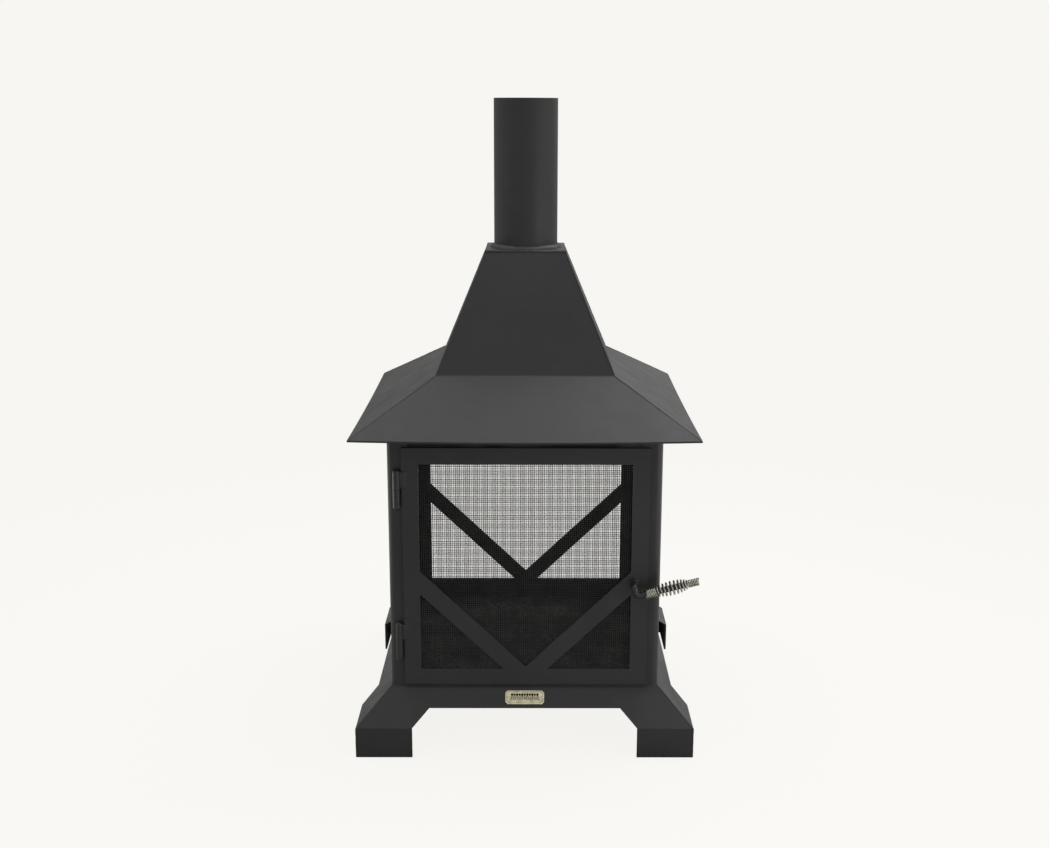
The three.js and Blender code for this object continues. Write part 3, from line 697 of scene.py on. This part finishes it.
def add_weave(prefix, node, body, seed, notch=None):
    """Real plain-woven wire in the space of a frame node: upright wires and level wires, each
    passing over and under the others. A notch leaves the wires out round a centre."""
    low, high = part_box(node)
    middle = (low.y + high.y) / 2
    across = evenly(low.x + WIRE_PITCH / 2, high.x - WIRE_PITCH / 2)
    up = evenly(low.z + WIRE_PITCH / 2, high.z - WIRE_PITCH / 2)
    offsets = [(0, -1), (1, 0), (0, 1), (-1, 0)]
    for kind, places, stations in (("upright", across, up), ("level", up, across)):
        shape = Shape()
        for k, place in enumerate(places):
            run = []
            for j, station in enumerate(stations):
                sign = 1 if (k + j) % 2 else -1
                sign = sign if kind == "upright" else -sign
                x, z = (place, station) if kind == "upright" else (station, place)
                spot = Vector((x, 0, z))
                shift = 0.22 * MM * wobble(spot, 55 * MM, seed)
                shift += 0.10 * MM * wobble(spot, 11 * MM, seed + 1)
                if kind == "upright":
                    spot.x += shift
                else:
                    spot.z += shift
                spot.y = middle + sign * WIRE_RADIUS
                if notch and (Vector((x, z)) - notch[0]).length < notch[1]:
                    add_wire(shape, run, offsets, kind)
                    run = []
                else:
                    run.append(spot)
            add_wire(shape, run, offsets, kind)
        stands_for = [node] if kind == "upright" else ()
        add_piece(f"{prefix}_{kind}_wires", shape, WIRE, body, stands_for, sharp=180)


def add_wire(shape, run, offsets, kind):
    """One four-sided wire through the points of a run."""
    if len(run) < 2:
        return
    rings = []
    for spot in run:
        ring = []
        for side, out in offsets:
            sideways = Vector((side, 0, 0)) if kind == "upright" else Vector((0, 0, -side))
            ring.append(spot + (sideways + Vector((0, out, 0))) * WIRE_RADIUS)
        rings.append(ring)
    shape.add_rings(rings)


# ---- Latch -------------------------------------------------------------------------------------
ALONG_HANDLE = Vector((math.cos(HANDLE_RISE), 0, math.sin(HANDLE_RISE)))
DOWN_HANDLE = Vector((math.sin(HANDLE_RISE), 0, -math.cos(HANDLE_RISE)))


def handle_point(distance):
    """The point on the handle's centre line at a distance from its bend."""
    return Vector((LATCH_X, ROD_FRONT_Y, LATCH_Z)) + DOWN_HANDLE * ROD_DROP + ALONG_HANDLE * distance


def bent_path(corners, radius, steps=10):
    """Straight runs joined by round bends of one radius."""
    path = [corners[0]]
    for before, corner, after in zip(corners, corners[1:], corners[2:]):
        into, out = (corner - before).normalized(), (after - corner).normalized()
        turn = into.angle(out)
        start = corner - into * radius * math.tan(turn / 2)
        sideways = (out - into * into.dot(out)).normalized()
        for k in range(steps + 1):
            angle = turn * k / steps
            along, aside = radius * math.sin(angle), radius * (1 - math.cos(angle))
            path.append(start + into * along + sideways * aside)
    path.append(corners[-1])
    return path


def add_latch_rod():
    """The round latch bar: through the bush, down, and out along the handle."""
    back_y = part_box("latch_rod")[1].y
    corners = [
        Vector((LATCH_X, back_y, LATCH_Z)),
        Vector((LATCH_X, ROD_FRONT_Y, LATCH_Z)),
        handle_point(0),
        handle_point(GRIP_START + GRIP_TIGHT_IN + GRIP_OPEN - ROD_END_SHORT),
    ]
    path = bent_path(corners, ROD_BEND)
    tip = 0.5 * MM
    start, end = (path[1] - path[0]).normalized(), (path[-1] - path[-2]).normalized()
    path = [path[0], path[0] + start * tip, *path[1:-1], path[-1] - end * tip, path[-1]]
    radii = [ROD_RADIUS - tip] + [ROD_RADIUS] * (len(path) - 2) + [ROD_RADIUS - tip]
    shape = Shape()
    sweep(shape, path, radii, 32)
    add_piece("latch_bar", shape, ROUND_PAINT, "latch", ["latch_rod"])


def add_grip():
    """The coiled wire grip: close-wound at both ends and barrel-shaped between."""
    turns_in, turns_out = GRIP_TIGHT_IN / GRIP_PITCH, GRIP_TIGHT_OUT / GRIP_PITCH
    total = turns_in + GRIP_OPEN_TURNS + turns_out
    radius_in, radius_bulge, radius_out = GRIP_RADII
    front = Vector((0, -1, 0))
    steps = round(total * 36)
    path = []
    for k in range(steps + 1):
        turn = total * k / steps
        opened = min(1.0, max(0.0, (turn - turns_in) / GRIP_OPEN_TURNS))
        tight = min(turn, turns_in) + max(0.0, turn - turns_in - GRIP_OPEN_TURNS)
        radius = radius_in + (radius_out - radius_in) * opened
        bulge = math.sin(math.pi * opened)
        radius += bulge * (radius_bulge - (radius_in + radius_out) / 2)
        angle = 2 * math.pi * turn
        stretched = opened - 0.03 * math.sin(2 * math.pi * opened) + 0.04 * bulge
        centre = handle_point(GRIP_START + tight * GRIP_PITCH + stretched * GRIP_OPEN)
        path.append(centre + (front * math.cos(angle) + DOWN_HANDLE * math.sin(angle)) * radius)
    shape = Shape()
    sweep(shape, path, GRIP_WIRE, 14)
    add_piece("coiled_grip", shape, NICKEL, "latch", ["spring_grip"])


def add_bush_weld():
    """A small fillet where the bush comes through the door plate."""
    low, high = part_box("latch_bush")
    radius = (high.x - low.x) / 2
    shape = Shape()
    path = []
    for k in range(73):
        angle = 2 * math.pi * k / 72
        across, up = radius * math.cos(angle), radius * math.sin(angle)
        path.append(Vector((LATCH_X + across, DOOR_LOW.y, LATCH_Z + up)))
    sweep(shape, path, bead_radii(path, 1.5 * MM, 31, 0.08, 3 * MM), 10)
    add_piece("bush_weld", shape, ROUND_PAINT, "door")


# ---- Hinges ------------------------------------------------------------------------------------
def add_weld_patch(shape, corner, across, along, out, size, seed):
    """A rough weld laid on a face: a ragged dome over a width, a length and a height."""
    width, length, height = size
    columns, rows = 14, 40
    top = []
    for row in range(rows + 1):
        v = row / rows
        line = []
        for column in range(columns + 1):
            u = column / columns
            spot = corner + across * (u * width) + along * (v * length)
            ragged = 1 + 0.16 * wobble(spot, 5 * MM, seed) * u
            dome = math.sin(math.pi * (0.5 + 0.5 * u)) ** 0.6 if u < 1 else 0.0
            ends = min(1.0, 6 * v, 6 * (1 - v)) ** 0.5
            ripple = 0.06 * math.sin(2 * math.pi * v * length / (3.2 * MM))
            lumps = 1 + 0.35 * wobble(spot, 4 * MM, seed + 1) + ripple
            lift = height * dome * ends * lumps
            line.append(corner + across * (u * width * ragged) + along * (v * length) + out * lift)
        top.append(line)
    sunk = out * (-0.6 * MM)
    rings = []
    for row, line in enumerate(top):
        rings.append(line + [line[-1] + sunk, corner + along * (row / rows * length) + sunk])
    shape.add_rings(rings)


def add_hinge_welds():
    """The rough weld of each barrel on the door, and the two beads of each on the firebox."""
    for seed, level in enumerate(("upper", "lower")):
        low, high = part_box("hinge_door_barrel_" + level)
        axis_x = low.x + HINGE_RADIUS
        door_weld = Shape()
        start = Vector((axis_x + 5.6 * MM, DOOR_LOW.y - 0.2 * MM, low.z + 2 * MM))
        size = (13.5 * MM, high.z - low.z - 7 * MM, 2.6 * MM)
        across, along, out = Vector((1, 0, 0)), Vector((0, 0, 1)), Vector((0, -1, 0))
        add_weld_patch(door_weld, start, across, along, out, size, 40 + seed)
        add_piece("hinge_door_weld_" + level, door_weld, PAINT, "door", sharp=60)

        low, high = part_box("hinge_frame_barrel_" + level)
        frame_weld = Shape()
        offset, ends = 1.2 * MM, (high.z - 1 * MM, low.z + 12 * MM)
        beads = [(low.x + offset, 2.3 * MM, 50 + seed), (high.x - offset, 1.6 * MM, 60 + seed)]
        for x, radius, bead_seed in beads:
            path = resampled([Vector((x, -FIREBOX - offset, z)) for z in ends], 1 * MM)
            sweep(frame_weld, path, bead_radii(path, radius, bead_seed, 0.12, 3 * MM), 12)
        add_piece("hinge_frame_weld_" + level, frame_weld, PAINT, "shell")


# ---- Rear frame tacks --------------------------------------------------------------------------
def add_rear_tacks():
    """Short welds that hold the rear frame to the firebox."""
    low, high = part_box("rear_frame")
    face_y = FIREBOX + 0.6 * MM
    half, radius = 11 * MM, 2.6 * MM
    shape = Shape()
    seed = 70
    for share in (0.12, 0.5, 0.88):
        z = low.z + share * (high.z - low.z)
        for x in (low.x, high.x):
            seed += 1
            path = resampled([Vector((x, face_y, z - half)), Vector((x, face_y, z + half))], 1 * MM)
            sweep(shape, path, tack_radii(path, radius, seed), 12)
    for share in (0.15, 0.5, 0.85):
        x = low.x + share * (high.x - low.x)
        for z in (low.z, high.z):
            seed += 1
            path = resampled([Vector((x - half, face_y, z)), Vector((x + half, face_y, z))], 1 * MM)
            sweep(shape, path, tack_radii(path, radius, seed), 12)
    add_piece("rear_frame_tacks", shape, PAINT, "shell")


def tack_radii(path, radius, seed):
    """A short bead that swells from both ends."""
    last = len(path) - 1
    swell = [math.sin(math.pi * (0.06 + 0.88 * k / last)) ** 0.5 for k in range(last + 1)]
    return [r * s for r, s in zip(bead_radii(path, radius, seed, 0.1, 3 * MM), swell)]


# ---- Nameplate ---------------------------------------------------------------------------------
def nameplate_place():
    """The middle of the nameplate's face, and its directions: across, up the slope and outwards."""
    low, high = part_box("nameplate")
    slope = math.atan2(SKIRT_TOP_Z - FOOT_BEND_Z, BASE - FIREBOX)
    up = Vector((0, math.cos(slope), math.sin(slope)))
    out = Vector((0, -math.sin(slope), math.cos(slope)))
    middle = (low + high) / 2
    return middle + out * 0.75 * MM, Vector((1, 0, 0)), up, out


def add_prism(shape, outline, place, height, inset=0.25):
    """A low raised figure on the nameplate, with sloping sides."""
    middle, across, up, out = place
    centre_x = sum(x for x, _ in outline) / len(outline)
    centre_y = sum(y for _, y in outline) / len(outline)
    rings = []
    for lift, shrink in ((-0.1 * MM, 0.0), (height * 0.6, 0.0), (height, inset)):
        ring = []
        for x, y in outline:
            x, y = x + (centre_x - x) * shrink, y + (centre_y - y) * shrink
            ring.append(middle + across * x + up * y + out * lift)
        rings.append(ring)
    shape.add_rings(rings)


def diamond(x, y, half_x, half_y):
    """The outline of a diamond round a centre."""
    return [(x - half_x, y), (x, y - half_y), (x + half_x, y), (x, y + half_y)]


def add_border(shape, half_x, half_y, chamfer, line, height, place):
    """A low ridge that follows the nameplate's edge."""
    middle, across, up, out = place
    outer = chamfered(half_x, half_y, chamfer)
    inner = chamfered(half_x - line, half_y - line, chamfer - 0.3 * line)
    rings = []
    for (ox, oy), (ix, iy) in zip(outer, inner):
        corners = [(ox, oy, -0.1 * MM), (ox, oy, height), (ix, iy, height), (ix, iy, -0.1 * MM)]
        rings.append([middle + across * x + up * y + out * z for x, y, z in corners])
    shape.add_rings(rings, closed=True)


def add_nameplate_ornament():
    """A plain border, a band of diamonds and two rules: an ornament with no lettering."""
    place = nameplate_place()
    half_x, half_y, chamfer = 37.4 * MM, 13.5 * MM, 4.7 * MM
    border = Shape()
    add_border(border, half_x, half_y, chamfer, 1.5 * MM, 0.3 * MM, place)
    add_piece("nameplate_border", border, RUBBED_BRASS, "shell")

    marks = Shape()
    inside = (half_x - 1.6 * MM, half_y - 1.6 * MM, chamfer - 0.6 * MM)
    add_border(marks, *inside, 0.5 * MM, 0.15 * MM, place)
    for k, x in enumerate(row_places(11, 25 * MM)):
        tall = 3.9 if k % 2 == 0 else 3.0
        add_prism(marks, diamond(x, 5.2 * MM, 2.7 * MM, tall * MM), place, 0.3 * MM)
    for x in row_places(15, 26 * MM):
        add_prism(marks, diamond(x, -1.8 * MM, 1.6 * MM, 2.0 * MM), place, 0.25 * MM)
    reach, half_line = 29 * MM, 0.35 * MM
    for y in (0.9 * MM, -5.4 * MM):
        low, high = y - half_line, y + half_line
        rule = [(-reach, low), (reach, low), (reach, high), (-reach, high)]
        add_prism(marks, rule, place, 0.25 * MM, inset=0.02)
    add_piece("nameplate_marks", marks, ENAMEL, "shell")


def row_places(count, reach):
    """Even places from -reach to reach."""
    return [-reach + 2 * reach * k / (count - 1) for k in range(count)]


def chamfered(half_x, half_y, chamfer):
    """A rectangle's outline with its four corners cut off."""
    quarter = [(half_x, half_y - chamfer), (half_x - chamfer, half_y)]
    left = [(-x, y) for x, y in reversed(quarter)]
    upper = quarter + left
    return upper + [(x, -y) for x, y in reversed(upper)]


# ---- Stage, light and camera -------------------------------------------------------------------
def add_camera():
    data = bpy.data.cameras.new("camera")
    data.lens = CAMERA_LENS
    data.sensor_width = SENSOR_WIDTH
    data.shift_x, data.shift_y = CAMERA_SHIFT
    data.clip_end = 200
    camera = bpy.data.objects.new("camera", data)
    turn = Matrix.Rotation(-CAMERA_YAW, 4, "Z") @ Matrix.Rotation(math.pi / 2 - CAMERA_PITCH, 4, "X")
    camera.matrix_world = Matrix.Translation(CAMERA_AT) @ turn @ Matrix.Rotation(CAMERA_ROLL, 4, "Z")
    bpy.context.scene.collection.objects.link(camera)
    bpy.context.scene.camera = camera


def seen_by_camera(tree):
    """1 for a ray straight from the camera, 0 for light and reflections."""
    return tree.nodes.new("ShaderNodeLightPath").outputs["Is Camera Ray"]


def floor_material():
    """A pale sweep to look at, with a faint shadow. Light rays see a grey floor instead, which
    glows in a ring beside and behind the object."""
    material, tree, shader = new_material("pale_floor")
    point = object_point(tree)
    across = add_node(tree, "ShaderNodeVectorMath", {"operation": "LENGTH"}, i0=point).outputs["Value"]
    shader.inputs["Base Color"].default_value = (0.08, 0.08, 0.08, 1)
    shader.inputs["Roughness"].default_value = 1.0
    shader.inputs["Specular IOR Level"].default_value = 0.0
    shader.inputs["Emission Color"].default_value = (*BACKGROUND, 1)
    shader.inputs["Emission Strength"].default_value = FLOOR_GLOW
    backdrop = add_node(tree, "ShaderNodeEmission", Color=(*BACKGROUND, 1), Strength=1.0)
    fade = spread(tree, across, 1.0, 2.6)
    shown = add_node(tree, "ShaderNodeMixShader", i0=fade, i1=shader.outputs[0], i2=backdrop.outputs[0])
    bounce = add_node(tree, "ShaderNodeBsdfDiffuse", Color=(0.5, 0.5, 0.49, 1))
    glow = add_node(tree, "ShaderNodeEmission", Color=(1, 1, 0.985, 1), Strength=SIDE_GLOW)
    rising, falling = spread(tree, across, *GLOW_STARTS), spread(tree, across, *GLOW_ENDS, 1.0, 0.0)
    ring = calculate(tree, "MULTIPLY", rising, falling)
    depth = add_node(tree, "ShaderNodeSeparateXYZ", Vector=point).outputs["Y"]
    beside = calculate(tree, "MULTIPLY", ring, spread(tree, depth, *GLOW_FRONT))
    lit = add_node(tree, "ShaderNodeMixShader", i0=beside, i1=bounce.outputs[0], i2=glow.outputs[0])
    seen = seen_by_camera(tree)
    mix = add_node(tree, "ShaderNodeMixShader", i0=seen, i1=lit.outputs[0], i2=shown.outputs[0])
    tree.links.new(mix.outputs[0], tree.nodes["Material Output"].inputs["Surface"])
    return material


def add_floor():
    """A round floor that reaches the horizon, made of rings."""
    shape = Shape()
    sides = 48
    turns = [2 * math.pi * k / sides for k in range(sides)]
    rings = []
    for radius in (0.001, 1.5, 4, 12, 40, 90):
        rings.append([Vector((radius * math.cos(a), radius * math.sin(a), 0)) for a in turns])
    for inner, outer in zip(rings, rings[1:]):
        base = len(shape.points)
        shape.points.extend(inner + outer)
        for k in range(sides):
            after = (k + 1) % sides
            shape.faces.append((base + k, base + sides + k, base + sides + after, base + after))
    mesh = bpy.data.meshes.new("floor")
    mesh.from_pydata(shape.points, [], shape.faces)
    mesh.materials.append(floor_material())
    floor = bpy.data.objects.new("floor", mesh)
    floor.location.z = -0.5 * MM
    bpy.context.scene.collection.objects.link(floor)


def add_sky():
    """A pale backdrop to look at, and a dim room to light the object, palest behind it at the right."""
    world = bpy.data.worlds.new("studio")
    bpy.context.scene.world = world
    world.use_nodes = True
    tree = world.node_tree
    direction = tree.nodes.new("ShaderNodeTexCoord").outputs["Generated"]
    split = add_node(tree, "ShaderNodeSeparateXYZ", Vector=direction).outputs
    paler_right = spread(tree, split["X"], -0.9, 0.25, 0.3 * ROOM_BEHIND, 1.27 * ROOM_BEHIND)
    behind = spread(tree, split["Y"], 0.2, 0.9, ROOM, paler_right)
    room = add_node(tree, "ShaderNodeBackground", Color=(1, 1, 0.985, 1), Strength=behind)
    backdrop = add_node(tree, "ShaderNodeBackground", Color=(*BACKGROUND, 1), Strength=1.0)
    seen = seen_by_camera(tree)
    mix = add_node(tree, "ShaderNodeMixShader", i0=seen, i1=room.outputs[0], i2=backdrop.outputs[0])
    tree.links.new(mix.outputs[0], tree.nodes["World Output"].inputs["Surface"])


def add_lamp(name, at, towards, size, power):
    data = bpy.data.lights.new(name, "AREA")
    data.shape = "RECTANGLE"
    data.size, data.size_y = size
    data.energy = power
    lamp = bpy.data.objects.new(name, data)
    lamp.location = at
    lamp.rotation_euler = (Vector(towards) - Vector(at)).to_track_quat("-Z", "Y").to_euler()
    lamp.visible_camera = False
    bpy.context.scene.collection.objects.link(lamp)


def add_lamps():
    """Two overhead banks with a gap between them, a thin one in front, and fills from the right."""
    add_lamp("top_left", (-0.95, 0.35, 2.5), (-0.2, 0, 0.7), (1.1, 1.6), 9)
    add_lamp("top_right", (0.95, 0.35, 2.5), (0.2, 0, 0.7), (1.1, 1.6), 19)
    add_lamp("strip_right", (2.4, -0.6, 1.2), (0, 0, 0.7), (0.8, 2.0), 3)
    add_lamp("low_right", (1.7, -1.5, 0.45), (0, -0.3, 0.35), (0.7, 0.7), 5)
    add_lamp("front_thin", (0, -0.56, 2.5), (0, -0.56, 0), (1.6, 0.05), 1.9)
    add_lamp("floor_right", (0.5, -1.9, 0.02), (0.2, -0.3, 0.4), (0.9, 1.2), 0.9)


add_camera()
add_floor()
add_sky()
add_lamps()
dress_frame_nodes()
add_hood_panels()
add_hip_welds()
add_cap_seam()
add_pipe_weld()
add_firebox_seam()
add_floor_ledge()
add_base_corner_welds()
add_weave("rear_weave", "rear_mesh", "shell", 11)
add_weave("door_weave", "door_mesh", "door", 17, (Vector((LATCH_X, LATCH_Z)), ROD_RADIUS + 2.2 * MM))
add_latch_rod()
add_grip()
add_bush_weld()
add_hinge_welds()
add_rear_tacks()
add_nameplate_ornament()
bpy.context.scene.view_settings.view_transform = "Standard"
